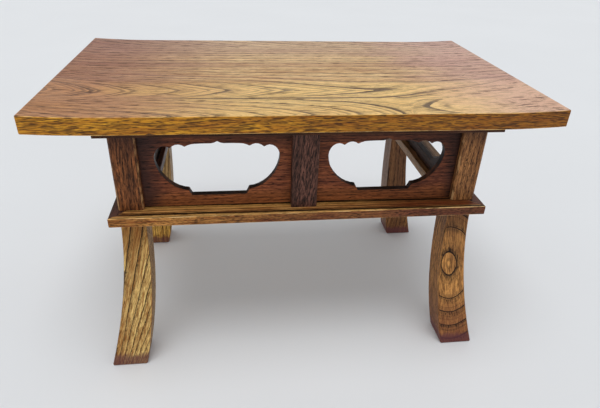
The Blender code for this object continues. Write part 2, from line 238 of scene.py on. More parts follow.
def arrow_heads(wood, x, y, sweep):
    """Arrow heads whose outer lines run straight at the back and turn towards it on the right."""
    off = wood.sub(y, HEADS_Y)
    off = wood.sub(off, wood.mul(sweep, wood.remap(off, HEADS_SWEPT, (SWEEP_SLOPE, 0.0))))
    wide = wood.size(off)
    in_front = wood.mul(wood.below(off, 0.0), wood.remap(x, FRONT_ARM_X, (FRONT_ARM_RATE, 0.0)))
    front_arms = wood.mul(wood.power(wood.mul(wide, 1 / FRONT_ARM_WIDTH), FRONT_ARM_POWER), in_front)
    arms = wood.add(wood.mul(wood.power(wide, ARM_POWER), ARM_RATE), front_arms)
    left_of_tip = wood.most(wood.sub(HEADS_TIP_X, x), 0.0)
    reach = wood.mul(wood.power(left_of_tip, REACH_POWER), 1 / REACH_SCALE)
    ahead = wood.sub(reach, wood.remap(x, BEYOND_TIP_X, (0.0, BEYOND_TIP_RINGS)))
    near = wood.remap(off, HEADS_FADE, FALLING)
    return wood.add(wood.sub(arms, wood.mul(ahead, near)), HEADS_PHASE)


def front_fan(wood, x, y):
    """A fan of lines that starts from the front edge and opens to the left."""
    left_of_end = wood.mul(wood.most(wood.sub(FAN_END_X, x), 0.0), 1 / FAN_LENGTH)
    rise = wood.mul(wood.most(wood.sub(y, FAN_EDGE_Y), 0.0), 1 / FAN_DEPTH)
    opening = wood.add(wood.mul(left_of_end, FAN_WIDENING), FAN_OPENING)
    fan = wood.sub(wood.mul(opening, wood.power(rise, FAN_POWER)), left_of_end)
    return wood.add(fan, FAN_PHASE)


def blunt_head(wood, x, y):
    """A blunt head that points left."""
    arms = wood.mul(wood.power(wood.size(wood.sub(y, BLUNT_Y)), BLUNT_POWER), BLUNT_RATE)
    out = wood.sub(arms, wood.sub(x, BLUNT_TIP_X))
    rings = wood.most(wood.mul(out, 1 / BLUNT_OUTER_RING), wood.mul(out, 1 / BLUNT_INNER_RING))
    return wood.add(rings, BLUNT_PHASE)


def back_lines(wood, x, y):
    """Lines that slant to the back edge."""
    rise = wood.mul(wood.power(wood.size(wood.sub(BACK_AXIS_Y, y)), BACK_POWER), BACK_RATE)
    return wood.sub(rise, wood.mul(wood.sub(x, BACK_START_X), 1 / BACK_RING))


def board_figure(wood, x, y):
    """Ring count over the top board, the dark seam between its figures, and how strongly lines show."""
    sweep = board_sweep(wood, x)
    seam = wood.sub(wood.sub(y, SEAM_Y), wood.mul(sweep, SWEEP_SLOPE))
    in_front = wood.below(seam, 0.0)
    at_back = wood.calc("GREATER_THAN", y, BACK_FROM_Y)
    front = wood.blend(wood.remap(x, FAN_TO_BLUNT_X), front_fan(wood, x, y), blunt_head(wood, x, y))
    rings = wood.blend(in_front, arrow_heads(wood, x, y, sweep), front)
    rings = wood.blend(at_back, rings, back_lines(wood, x, y))

    seam_edge = wood.remap(wood.size(seam), SEAM_EDGE, FALLING)
    seam_line = wood.mul(seam_edge, wood.remap(x, SEAM_START_X, (0.0, SEAM_DARK)))
    show = wood.mul(wood.remap(y, FADE_BACK_Y, FADE_BACK), wood.remap(x, FADE_RIGHT_X, FADE_RIGHT))
    show = wood.mul(show, wood.remap(x, FADE_LEFT_X, FADE_LEFT))
    calm = wood.mul(in_front, wood.remap(x, CALM_FRONT_X, CALM_FRONT))
    show = wood.mul(show, wood.sub(1.0, calm))
    return rings, seam_line, wood.most(show, wood.remap(y, SHOW_BACK_Y, SHOW_BACK))


def eye_figure(wood, z, x):
    """Ring count over the right front leg: an eye, one wide ring round it and narrower ones beyond."""
    up = wood.sub(z, EYE_Z)
    aside = wood.sub(wood.add(x, wood.mul(up, EYE_LEAN)), EYE_X)
    high, wide = wood.mul(up, 1 / EYE_HALF_HEIGHT), wood.mul(aside, 1 / EYE_HALF_WIDTH)
    out = wood.calc("SQRT", wood.add(wood.mul(high, high), wood.mul(wide, wide)))
    near = wood.mul(wood.sub(out, EYE_NEAR_FROM), 1 / EYE_NEAR_RING)
    far = wood.mul(wood.sub(out, EYE_FAR_FROM), 1 / EYE_FAR_RING)
    return wood.most(near, far), 0.0, 1.0


def slant_figure(wood, z, x):
    """Ring count over the left front leg: lines that fan out and slant across its front."""
    up = wood.sub(z, SLANT_Z)
    across = wood.sub(wood.sub(x, SLANT_X), wood.mul(up, SLANT))
    return wood.calc("DIVIDE", across, wood.add(wood.mul(up, SLANT_SPREAD), SLANT_RING)), 0.0, 1.0


# How a piece of wood is described
@dataclass
class Tone:
    """Colours of a wood, and how strongly its rings and pores show."""

    light: tuple                      # light fibres
    mid: tuple                        # dark fibres
    stain: tuple                      # bands and blotches
    dark: tuple                       # ring lines, pores and streaks
    worn: tuple                       # rubbed arrises
    ring: float = 0.9
    pore: float = 0.75
    edge: tuple = (255, 255, 255)     # multiplies the colour of cut sides


class Drift(NamedTuple):
    """A colour that comes in along an axis from low to high, on all sides or on one kind of side."""

    axis: str
    low: float
    high: float
    amount: float
    paint: tuple
    part: str                         # all, face or cut


@dataclass
class Cut:
    """How one piece was cut from the tree, and how its surface has aged."""

    along: str                        # axis of the grain
    pith: tuple                       # the pith on the other two axes; a figured face uses the second
    tone: Tone
    seed: float                       # shifts the noise from piece to piece
    ring: float = 3.0                 # width of a growth ring
    tilt: tuple = (0.0, 0.0)          # slope of the pith along the grain
    bend: tuple = (0.0, 0.0)          # and its curve, by the square of the length
    middle: float = 0.0               # where along the grain the pith is at its place
    phase: float = 0.0                # shift of the rings, in rings
    figure: object = None             # function that draws the rings of the main face
    depth: float = 0.0                # rings per millimetre behind that face, with the sign of the way in
    warp: float = 2.0                 # slow wander of the rings
    uneven: float = 0.9               # how far the rings' widths vary
    line: float = 0.16                # share of a ring that its dark line takes
    vary: float = 0.6                 # how far the dark lines differ from each other
    broken: float = 0.5               # strength that is left where a dark line breaks up
    fine: float = 0.35                # strength of the streaks along the rings
    streak_size: float = 0.9          # width of a streak
    fibre_size: tuple = (26.0, 1.5)   # length and width of a fibre
    pore_size: tuple = (7.0, 0.9)     # length and width of a long pore
    nick_size: tuple = (3.6, 0.8)     # length and width of a mark on a cut side
    nick: float = 0.55                # strength of those marks
    face: str = None                  # axis that the main face looks along, where cut sides differ from it
    drifts: tuple = ()                # colours that cover the wood, painted shade among them
    stains: tuple = ()                # stains, and painted shade, that darken it and leave its fibres to be seen
    foot: tuple = None                # colour of the lowest end of a leg
    worn: float = 0.5                 # how far the arrises are rubbed through
    gloss: float = 0.15               # specular level of the lacquer


# Noise in the wood: length and width of a cell, detail, roughness
WANDER_NOISE = (130.0, 34.0), 2.0, 0.45
RIPPLE_NOISE = (16.0, 5.0), 2.0, 0.5
SHORT_PORE_NOISE = (3.4, 0.4), 1.0, 0.5
BLOTCH_NOISE = (90.0, 26.0), 3.0, 0.55
RUB_NOISE = (14.0, 6.0), 3.0, 0.6
FOOT_NOISE = (6.0, 5.0), 2.0, 0.5
FIBRE_DETAIL = 3.0, 0.65
MARK_DETAIL = 1.0, 0.5
STREAK_DETAIL = 2.0
NOISE_MEAN = 0.5

# Height of the ripple, and how much further the rings wander across the grain than through it
RIPPLE = 2.0
WARP_ACROSS = 2

# Noise from ring to ring: cells per ring, and the shift that a seed gives
UNEVEN_RATE, UNEVEN_SEED = 0.55, 3.1
BAND_RATE, BAND_SEED, BAND_START = 0.37, 5.3, 20.0
LINE_RATE, LINE_SEED = 1.37, 7.7
STREAK_SEED = 2.3
GRAIN_SEEDS = (37.0, 11.0, 17.0)

# Noise values between which a mark comes in, and its full strength where that is below one
FIBRE_LIGHT, FIBRE_BREAK = (0.30, 0.68), (0.26, 0.52)
LONG_PORE = (0.53, 0.63)
SHORT_PORE, SHORT_PORE_FULL = (0.55, 0.66), 0.8
BAND, BAND_FULL = (0.42, 0.70), 0.4
BLOTCH, BLOTCH_FULL = (0.42, 0.68), 0.4
STRONG_LINE = (0.38, 0.60)
STREAK = (0.50, 0.66)
NICK = (0.48, 0.62)
RUB = (0.42, 0.62)

# Within a ring: the dark line's firm share, the early wood that fades after it, the zone with most pores
LINE_FIRM = 0.4
EARLY_WOOD, EARLY_STRENGTH = (0.0, 0.5), (0.38, 0.0)
PORE_ZONE, PORE_STRENGTH = (0.0, 0.6), (1.0, 0.45)

# Line strength up to which a figure's streaks fade as well
FAINT_SHOW = (0.0, 0.5)

# Sides of a piece, told apart by the surface's direction, and what is left of its marks on cut sides
CUT_SIDE = (0.8, 0.4)
RINGS_ON_CUT, STREAKS_ON_CUT = 0.4, 0.2
ARRIS = (0.96, 0.84)

# Ragged edge of a drift as a share of its length, and the darkened foot of a leg
DRIFT_RAGGED = 0.9
FOOT_RAGGED, FOOT_HEIGHT, FOOT_DARK = 9.0, (15.0, 8.0), 0.75

# Surface
ROUGH_BLOTCH, ROUGHNESS, PORE_ROUGHNESS = (0.3, 0.7), (0.37, 0.48), 0.16
FIBRE_HEIGHT, PORE_DEPTH, RING_DEPTH = 0.15, 0.6, 0.3
BUMP_STRENGTH, BUMP_DISTANCE = 0.6, 0.00015
LACQUER_IOR = 1.5

# Axes along, across and through the grain, and the places of the last two in a cut's pairs
GRAIN_AXES = {"x": (0, 1, 2), "y": (1, 0, 2), "z": (2, 0, 1)}
ACROSS, THROUGH = 0, 1


class Wood(Shader):
    """The material of one piece: growth rings, then marks, colours and wear."""

    def __init__(self, name, cut):
        super().__init__(name)
        self.cut = cut
        self.lay_grain()
        self.sort_sides()
        self.grow_rings()
        self.make_marks()
        self.set_surface(self.aged(self.marked(self.dyed_and_painted_shade(self.bare()))))

    def cells(self, size, detail, rough, colour=False):
        """Noise in cells that lie along the grain."""
        length, width = size
        stretched = self.stretch(self.grain, (1 / length, 1 / width, 1 / width))
        return self.noise(stretched, detail, rough, colour)

    def centred(self, noise):
        return self.sub(noise, NOISE_MEAN)

    def lay_grain(self):
        """Coordinates in millimetres, and those of the noise, which lean with the pith."""
        cut = self.cut
        self.xyz = self.split(self.stretch(self.place(), (MM, MM, MM)))
        self.along, self.across, self.through = (self.xyz[axis] for axis in GRAIN_AXES[cut.along])
        leaning = self.sub(self.across, self.mul(self.along, cut.tilt[ACROSS]))
        lengths = zip((self.along, leaning, self.through), GRAIN_SEEDS)
        self.grain = self.join(*(self.add(length, cut.seed * step) for length, step in lengths))

    def sort_sides(self):
        """How squarely the surface faces each axis, and the shares of main face and cut side."""
        turn = self.split(self.nodes.new("ShaderNodeNewGeometry").outputs["Normal"])
        self.facing = [self.size(share) for share in turn]
        self.where = {"all": 1.0}
        if self.cut.face:
            cut_side = self.remap(self.facing[AXES.index(self.cut.face)], CUT_SIDE)
            self.where.update(cut=cut_side, face=self.sub(1.0, cut_side))

    def grow_rings(self):
        """Rings round the pith or by a figure, with a slow wander and uneven widths."""
        cut = self.cut
        wander = self.split(self.cells(*WANDER_NOISE, colour=True))
        ripple = self.mul(self.centred(self.cells(*RIPPLE_NOISE)), RIPPLE)
        aside = self.add(self.mul(self.centred(wander[0]), cut.warp * WARP_ACROSS), ripple)
        inwards = self.mul(self.centred(wander[1]), cut.warp)
        self.seam_line, self.show = 0.0, 1.0
        draw = self.figured_rings if cut.figure else self.round_rings
        self.rings = draw(aside, inwards)
        if cut.uneven:
            shift = cut.seed * UNEVEN_SEED
            widths = self.noise_line(self.add(self.mul(self.rings, UNEVEN_RATE), shift))
            self.rings = self.add(self.rings, self.mul(self.centred(widths), cut.uneven))

    def pith_line(self, side):
        """Place of the pith across or through the grain, which may slant and bend."""
        cut = self.cut
        from_middle = self.sub(self.along, cut.middle)
        slant = self.mul(from_middle, cut.tilt[side])
        curve = self.mul(self.mul(from_middle, from_middle), cut.bend[side])
        return self.add(self.add(slant, curve), cut.pith[side])

    def round_rings(self, aside, inwards):
        """Rings round the pith."""
        off_across = self.sub(self.add(self.across, aside), self.pith_line(ACROSS))
        off_through = self.sub(self.add(self.through, inwards), self.pith_line(THROUGH))
        squares = self.add(self.mul(off_across, off_across), self.mul(off_through, off_through))
        self.radius = self.calc("SQRT", squares)
        return self.add(self.mul(self.radius, 1 / self.cut.ring), self.cut.phase)

    def figured_rings(self, aside, inwards):
        """Rings as the figure draws them on the main face, with more of them the deeper behind it."""
        cut = self.cut
        figure = cut.figure(self, self.add(self.along, inwards), self.add(self.across, aside))
        rings, self.seam_line, self.show = figure
        behind = self.sub(self.through, self.pith_line(THROUGH))
        behind = self.most(self.mul(behind, math.copysign(1.0, cut.depth)), 0.0)
        rings = self.add(rings, self.mul(behind, abs(cut.depth)))
        self.radius = self.mul(rings, cut.ring)
        return rings

    def make_marks(self):
        self.fibre = self.cells(self.cut.fibre_size, *FIBRE_DETAIL)
        self.blotch = self.cells(*BLOTCH_NOISE)
        share = self.calc("FRACT", self.rings)
        self.early = self.early_wood(share)
        self.pores = self.open_pores(share)
        self.streaks = self.dark_streaks()

    def on_cut(self, marks, left):
        """The marks, with only a share of them left on cut sides."""
        if not self.cut.face:
            return marks
        return self.mul(marks, self.remap(self.where["cut"], UNIT, (1.0, left)))

    def early_wood(self, share):
        """Dark lines that differ from ring to ring, the seam, and where fibres break them up."""
        cut = self.cut
        number = self.calc("FLOOR", self.rings)
        each = self.noise_line(self.add(self.mul(number, LINE_RATE), cut.seed * LINE_SEED))
        line = self.remap(share, (cut.line * LINE_FIRM, cut.line), FALLING)
        line = self.mul(line, self.remap(each, STRONG_LINE, (1.0 - cut.vary, 1.0)))
        early = self.most(line, self.remap(share, EARLY_WOOD, EARLY_STRENGTH))
        early = self.most(early, self.seam_line)
        early = self.mul(early, self.remap(self.fibre, FIBRE_BREAK, (cut.broken, 1.0)))
        return self.on_cut(self.mul(early, self.show), RINGS_ON_CUT)

    def open_pores(self, share):
        """Long and short pores, most of them at the start of a ring."""
        long_pores = self.remap(self.cells(self.cut.pore_size, *MARK_DETAIL), LONG_PORE)
        short_pores = self.remap(self.cells(*SHORT_PORE_NOISE), SHORT_PORE, (0.0, SHORT_PORE_FULL))
        zone = self.remap(share, PORE_ZONE, PORE_STRENGTH)
        return self.mul(self.most(long_pores, short_pores), zone)

    def dark_streaks(self):
        """Streaks that follow the rings."""
        cut = self.cut
        place = self.add(self.mul(self.radius, 1 / cut.streak_size), cut.seed * STREAK_SEED)
        streaks = self.mul(self.remap(self.noise_line(place, STREAK_DETAIL), STREAK), cut.fine)
        if cut.figure:
            streaks = self.mul(streaks, self.remap(self.show, FAINT_SHOW))
        return self.on_cut(streaks, STREAKS_ON_CUT)

    def bare(self):
        """Light and dark fibres with bands and blotches of stain."""
        tone = self.cut.tone
        stain = srgb(*tone.stain)
        colour = self.mix(self.remap(self.fibre, FIBRE_LIGHT), srgb(*tone.mid), srgb(*tone.light))
        shift = self.cut.seed * BAND_SEED + BAND_START
        band = self.noise_line(self.add(self.mul(self.rings, BAND_RATE), shift))
        colour = self.mix(self.mul(self.remap(band, BAND), BAND_FULL), colour, stain)
        return self.mix(self.mul(self.remap(self.blotch, BLOTCH), BLOTCH_FULL), colour, stain)

    def dyed_and_painted_shade(self, colour):
        """The piece's drifts and stains, painted shade among them, with ragged edges."""
        for kind, changes in (("MIX", self.cut.drifts), ("MULTIPLY", self.cut.stains)):
            for axis, low, high, amount, paint, part in changes:
                ragged = self.mul(self.centred(self.blotch), DRIFT_RAGGED * abs(high - low))
                spread = self.add(self.xyz[AXES.index(axis)], ragged)
                reach = self.mul(self.remap(spread, (low, high), (0.0, amount)), self.where[part])
                colour = self.mix(reach, colour, srgb(*paint), kind)
        return colour

    def marked(self, colour):
        """Streaks, dark lines and pores, then the marks and shade of cut sides."""
        cut, tone = self.cut, self.cut.tone
        dark = srgb(*tone.dark)
        colour = self.mix(self.streaks, colour, dark)
        colour = self.mix(self.mul(self.early, tone.ring), colour, dark)
        colour = self.mix(self.mul(self.pores, tone.pore), colour, dark)
        if cut.face:
            cut_side = self.where["cut"]
            nicks = self.mul(self.remap(self.cells(cut.nick_size, *MARK_DETAIL), NICK), cut_side)
            colour = self.mix(self.mul(nicks, cut.nick), colour, dark)
            colour = self.mix(cut_side, colour, srgb(*tone.edge), "MULTIPLY")
        return colour

    def aged(self, colour):
        """Arrises rubbed through the stain where the surface turns from the axes, then a leg's dark foot."""
        cut = self.cut
        x, y, z = self.facing
        arris = self.remap(self.most(self.most(x, y), z), ARRIS)
        rubbed = self.mul(arris, self.remap(self.cells(*RUB_NOISE), RUB))
        colour = self.mix(self.mul(rubbed, cut.worn), colour, srgb(*cut.tone.worn))
        if cut.foot:
            ragged = self.mul(self.centred(self.cells(*FOOT_NOISE)), FOOT_RAGGED)
            level = self.add(self.xyz[AXES.index("z")], ragged)
            shade = self.remap(level, FOOT_HEIGHT, (0.0, FOOT_DARK))
            colour = self.mix(shade, colour, srgb(*cut.foot))
        return colour

    def set_surface(self, colour):
        inputs = self.surface.inputs
        self.put(inputs["Base Color"], colour)
        rough = self.remap(self.blotch, ROUGH_BLOTCH, ROUGHNESS)
        self.put(inputs["Roughness"], self.add(self.mul(self.pores, PORE_ROUGHNESS), rough))
        hollows = self.add(self.mul(self.pores, PORE_DEPTH), self.mul(self.early, RING_DEPTH))
        height = self.sub(self.mul(self.fibre, FIBRE_HEIGHT), hollows)
        self.put(inputs["Normal"], self.bump(height, BUMP_STRENGTH, BUMP_DISTANCE))
        inputs["IOR"].default_value = LACQUER_IOR
        inputs["Specular IOR Level"].default_value = self.cut.gloss


# Steel of the hidden screws
SCRATCHES_PER_METRE = (9000.0, 700.0, 9000.0)
STEEL_DARK, STEEL_LIGHT = (150, 148, 142), (196, 194, 188)
SCRATCH, STEEL_ROUGHNESS = (0.3, 0.7), (0.3, 0.45)


def steel(name):
    shader = Shader(name)
    inputs = shader.surface.inputs
    scratch = shader.noise(shader.stretch(shader.place(), SCRATCHES_PER_METRE))
    shader.put(inputs["Base Color"], shader.mix(scratch, srgb(*STEEL_DARK), srgb(*STEEL_LIGHT)))
    shader.put(inputs["Roughness"], shader.remap(scratch, SCRATCH, STEEL_ROUGHNESS))
    inputs["Metallic"].default_value = 1.0
    return shader.material


# Tones of the stained wood: light, mid, stain, dark, worn
TOP = Tone((255, 216, 152), (196, 146, 88), (166, 106, 70), (54, 27, 16), (240, 196, 118), pore=0.82,
           edge=(224, 190, 72))
FRAME = Tone((86, 50, 30), (62, 34, 20), (50, 28, 16), (22, 12, 8), (110, 76, 50))
# The panel's edge colour darkens its cut sides, the walls of the openings among them, with painted shade
PANEL = Tone((177, 101, 62), (94, 44, 27), (82, 42, 30), (12, 4, 2), (136, 80, 50), ring=0.6, pore=1.0,
             edge=(72, 54, 50))
CENTRE = Tone((122, 80, 67), (14, 8, 5), (44, 28, 22), (6, 3, 2), (120, 88, 72), ring=0.5, pore=1.0)
LEFT_POST = Tone((160, 97, 55), (50, 27, 12), (68, 38, 22), (10, 4, 2), (176, 136, 92), ring=0.45, pore=1.0)
RIGHT_POST = Tone((188, 130, 78), (96, 58, 30), (84, 50, 30), (14, 6, 3), (186, 146, 100), ring=0.45,
                  pore=1.0)
BACK_POST = Tone((116, 78, 50), (68, 42, 25), (56, 34, 24), (14, 7, 4), (150, 112, 78), ring=0.5, pore=0.95)
# The ledge is lighter than its wood as painted light as well: its top lies in the top board's shadow
LEDGE = Tone((255, 194, 116), (154, 88, 42), (122, 62, 34), (16, 7, 3), (240, 200, 140), ring=1.0,
             edge=(218, 206, 184))
LEFT_LEDGE = Tone((112, 72, 56), (82, 50, 38), (70, 42, 34), (24, 12, 10), (176, 130, 90))
RIGHT_LEDGE = Tone((184, 148, 104), (134, 100, 66), (112, 78, 52), (30, 18, 10), (196, 156, 110))
LEFT_LEG = Tone((255, 218, 138), (150, 100, 44), (148, 92, 40), (16, 7, 2), (176, 120, 74), ring=1.0,
                edge=(202, 192, 192))
RIGHT_LEG = Tone((216, 154, 84), (124, 80, 40), (116, 70, 40), (20, 10, 6), (150, 100, 64), ring=1.0,
                 pore=0.9)
# The back left leg is lighter than its wood as painted light, standing for light that reaches it under the
# table
BACK_LEFT_LEG_PAINTED_LIGHT = Tone((244, 194, 98), (184, 128, 50), (150, 100, 44), (26, 12, 4), (160, 112, 72), pore=0.8)
BACK_RIGHT_LEG = Tone((164, 114, 68), (118, 76, 42), (100, 62, 38), (28, 14, 10), (140, 96, 64), pore=0.8)
PLAIN = Tone((206, 170, 124), (192, 154, 108), (180, 140, 98), (150, 112, 76), (206, 170, 124), ring=0.4,
             pore=0.4)

# Colours and drifts that several pieces share, painted shade among them
FOOT = (90, 48, 54)
# Painted shade: the dark colour of the panels' inner faces, which lie in the table's shade
PAINTED_INNER_SHADE = (34, 22, 19)
# Light rim along the outer edge of a ledge's top: rubbed wood and a painted highlight
RUBBED_RIM_AND_HIGHLIGHT = (244, 190, 112)
# Painted shade under the overhanging top: panels and posts darken towards it
PAINTED_SHADE_UNDER_TOP = Drift("z", 206.0, 236.0, 0.85, (36, 20, 16), "face")
POST_PAINTED_SHADE_UNDER_TOP = Drift("z", 206.0, 236.0, 0.55, (58, 33, 29), "all")
BY_LEDGE = Drift("z", 183.0, 175.0, 0.4, (152, 92, 44), "face")
# Painted shade on the inner face of each panel
FRONT_PAINTED_INNER_SHADE = Drift("y", -97.5, -94.5, 0.8, PAINTED_INNER_SHADE, "face")
BACK_PAINTED_INNER_SHADE = Drift("y", 97.5, 94.5, 0.8, PAINTED_INNER_SHADE, "face")
LEFT_PAINTED_INNER_SHADE = Drift("x", -142.5, -139.5, 0.9, PAINTED_INNER_SHADE, "face")
RIGHT_PAINTED_INNER_SHADE = Drift("x", 142.5, 139.5, 0.9, PAINTED_INNER_SHADE, "face")

# Levels of the figured top and of the ledge's pith
TOP_FACE_Z = 257.3
LEDGE_PITH_Z = 161.5

# Front face of a front leg, level with the eye, then its lean and curve
LEG_FACE_Y = -109.2
LEG_FACE_LEAN, LEG_FACE_BEND = 0.0867, -5.64e-4


def frame_cut(**more):
    return Cut(ring=2.6, tone=FRAME, **more)


def ledge_cut(pith_y, **more):
    """A long ledge board, with one broad dark line along its top."""
    return Cut(along="x", pith=(pith_y, LEDGE_PITH_Z), ring=14.0, phase=0.821, line=0.32, warp=1.2,
               uneven=0.0, vary=0.0, tone=LEDGE, fine=0.8, streak_size=1.8, worn=1.0, face="z", **more)


def side_ledge_cut(pith_x, **more):
    return Cut(along="y", pith=(pith_x, LEDGE_PITH_Z), ring=9.0, phase=0.3, worn=0.8, **more)


def centre_cut(**more):
    return Cut(along="z", ring=3.4, tone=CENTRE, fibre_size=(7.0, 1.1), pore_size=(3.4, 0.75), fine=0.2,
               worn=0.3, **more)


def post_cut(**more):
    return Cut(along="z", ring=2.8, fibre_size=(11.0, 1.2), pore_size=(4.0, 0.75), fine=0.2, worn=0.8,
               drifts=(POST_PAINTED_SHADE_UNDER_TOP,), **more)


def panel_cut(painted_inner_shade, tone_and_painted_shade=(), **more):
    """A pierced panel: painted shade under the top and on its inner face, warmer by the ledge."""
    return Cut(ring=3.3, tone=PANEL, worn=0.3, face=painted_inner_shade.axis,
               drifts=(PAINTED_SHADE_UNDER_TOP, BY_LEDGE, *tone_and_painted_shade, painted_inner_shade), **more)


def front_leg_cut(lean, ring, **more):
    """A front leg, figured on its curved front face."""
    return Cut(along="z", pith=(0.0, LEG_FACE_Y), tilt=(lean, LEG_FACE_LEAN), bend=(0.0, LEG_FACE_BEND),
               middle=EYE_Z, depth=1 / ring, ring=ring, uneven=0.0, foot=FOOT, **more)


WOODS = {
    "top_board": Cut(
        along="x", pith=(0.0, TOP_FACE_Z), seed=1.0, tone=TOP, figure=board_figure, ring=4.5, depth=-0.35,
        warp=4.5, uneven=0.2, line=0.2, fine=0.5, worn=0.8, gloss=0.25, face="z",
        pore_size=(13.0, 2.0), nick_size=(8.0, 0.7), nick=0.8,
        drifts=(Drift("y", -25.0, -60.0, 0.6, (255, 212, 126), "face"),
                # greyer towards the back: painted sheen of the grazing reflection there
                Drift("y", 0.0, 110.0, 0.5, (208, 178, 154), "face"),
                Drift("x", 70.0, 190.0, 0.7, (210, 165, 156), "face"),
                Drift("x", -120.0, 180.0, 0.7, (128, 74, 48), "cut")),
        stains=(Drift("x", -30.0, -190.0, 1.0, (198, 168, 172), "face"),)),
    "top_frame_front": frame_cut(along="x", pith=(-40.0, 180.0), seed=2.0),
    "top_frame_back": frame_cut(along="x", pith=(40.0, 190.0), seed=3.0),
    "top_frame_left": frame_cut(along="y", pith=(-100.0, 180.0), seed=4.0),
    "top_frame_right": frame_cut(along="y", pith=(100.0, 180.0), seed=5.0),
    "ledge_front": ledge_cut(
        pith_y=-40.0, seed=6.0, tilt=(-0.0124, 0.0), middle=-80.0,
        drifts=(Drift("y", -110.0, -104.0, 0.65, (246, 188, 104), "face"),
                Drift("x", 0.0, 110.0, 0.85, (106, 42, 20), "face"),
                Drift("y", -113.0, -118.2, 0.85, RUBBED_RIM_AND_HIGHLIGHT, "face"),
                Drift("x", -120.0, 120.0, 0.85, (122, 68, 60), "cut"))),
    "ledge_back": ledge_cut(
        pith_y=40.0, seed=7.0, tilt=(0.01, 0.0),
        drifts=(Drift("y", 114.0, 118.6, 0.75, RUBBED_RIM_AND_HIGHLIGHT, "face"),
                Drift("x", 90.0, -90.0, 0.75, (116, 62, 44), "cut"))),
    "ledge_left": side_ledge_cut(pith_x=-86.0, seed=8.0, tone=LEFT_LEDGE),
    "ledge_right": side_ledge_cut(
        pith_x=86.0, seed=9.0, tone=RIGHT_LEDGE,
        drifts=(Drift("y", -64.0, -96.0, 0.9, (98, 54, 44), "all"),)),
    "centre_post_front": centre_cut(pith=(60.0, -60.0), seed=10.0, tilt=(0.12, 0.0)),
    "centre_post_back": centre_cut(pith=(-60.0, 60.0), seed=11.0),
    "panel_front_left": panel_cut(
        FRONT_PAINTED_INNER_SHADE, along="x", pith=(-90.0, 20.0), seed=12.0,
        # painted shadow of the left post on the panel beside it
        tone_and_painted_shade=(Drift("x", -112.0, -134.0, 0.85, (52, 32, 30), "face"),)),
    "panel_front_right": panel_cut(
        FRONT_PAINTED_INNER_SHADE, along="x", pith=(-90.0, 30.0), seed=13.0,
        # darker towards the right, then painted shadow of the right post on the panel beside it
        tone_and_painted_shade=(Drift("x", 0.0, 130.0, 0.4, (70, 34, 24), "face"),
                Drift("x", 124.0, 138.0, 0.8, (40, 22, 18), "face"))),
    "panel_back_left": panel_cut(BACK_PAINTED_INNER_SHADE, along="x", pith=(90.0, 22.0), seed=14.0),
    "panel_back_right": panel_cut(BACK_PAINTED_INNER_SHADE, along="x", pith=(90.0, 26.0), seed=15.0),
    "panel_left": panel_cut(LEFT_PAINTED_INNER_SHADE, along="y", pith=(-130.0, 24.0), seed=16.0),
    "panel_right": panel_cut(RIGHT_PAINTED_INNER_SHADE, along="y", pith=(130.0, 24.0), seed=17.0),
    "corner_post_front_left": post_cut(pith=(-90.0, -40.0), seed=18.0, tone=LEFT_POST, tilt=(0.05, 0.0)),
    "corner_post_front_right": post_cut(pith=(90.0, -30.0), seed=19.0, tone=RIGHT_POST, tilt=(0.03, 0.0)),
    "corner_post_back_left": post_cut(pith=(-80.0, 40.0), seed=20.0, tone=BACK_POST),
    "corner_post_back_right": post_cut(pith=(80.0, 40.0), seed=21.0, tone=BACK_POST),
    "leg_front_left": front_leg_cut(
        lean=0.27, ring=SLANT_RING, seed=22.0, tone=LEFT_LEG, figure=slant_figure, line=0.15, vary=0.1,
        fine=0.15, broken=0.85, face="y", pore_size=(4.5, 0.8),
        # painted shade under the ledge, darkening the top of the leg
        stains=(Drift("z", 100.0, 155.0, 0.9, (212, 190, 162), "face"),)),
    "leg_front_right": front_leg_cut(
        lean=-EYE_LEAN, ring=EYE_RING_INWARDS, seed=23.0, tone=RIGHT_LEG, figure=eye_figure, line=0.11,
        vary=0.0, drifts=(Drift("z", 70.0, 15.0, 0.65, (122, 68, 44), "all"),),
        # painted shade under the ledge, darkening the top of the leg
        stains=(Drift("z", 108.0, 146.0, 1.0, (188, 182, 196), "all"),)),
    "leg_back_left": Cut(
        along="z", pith=(-90.0, 60.0), tilt=(0.1, 0.0), ring=4.6, seed=24.0, tone=BACK_LEFT_LEG_PAINTED_LIGHT, foot=FOOT,
        drifts=(Drift("z", 55.0, 85.0, 0.6, (136, 116, 96), "all"),
                # its back half darker again, without that painted light
                Drift("y", 98.0, 110.0, 0.75, (146, 98, 54), "all"))),
    "leg_back_right": Cut(
        along="z", pith=(110.0, 40.0), tilt=(-0.1, 0.0), ring=4.4, seed=25.0, tone=BACK_RIGHT_LEG, foot=FOOT,
        drifts=(Drift("z", 50.0, 90.0, 0.5, (98, 68, 50), "all"),)),
}
DOWEL = Cut(along="z", pith=(0.0, 0.0), ring=2.2, tone=PLAIN, seed=30.0, worn=0.0)
KEY = Cut(along="x", pith=(0.0, 120.0), ring=2.2, tone=PLAIN, seed=31.0, worn=0.0)

dowel = Wood("dowel_wood", DOWEL).material
key = Wood("key_wood", KEY).material
screw = steel("screw_steel_brushed")

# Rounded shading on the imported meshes, with the flat faces kept flat
WELD_DISTANCE = 0.00001
ROUND_ANGLE, CRISP_ANGLE = math.radians(50), math.radians(35)
CRISP_PARTS = ("corner_post", "centre_post", "panel", "top_screw")


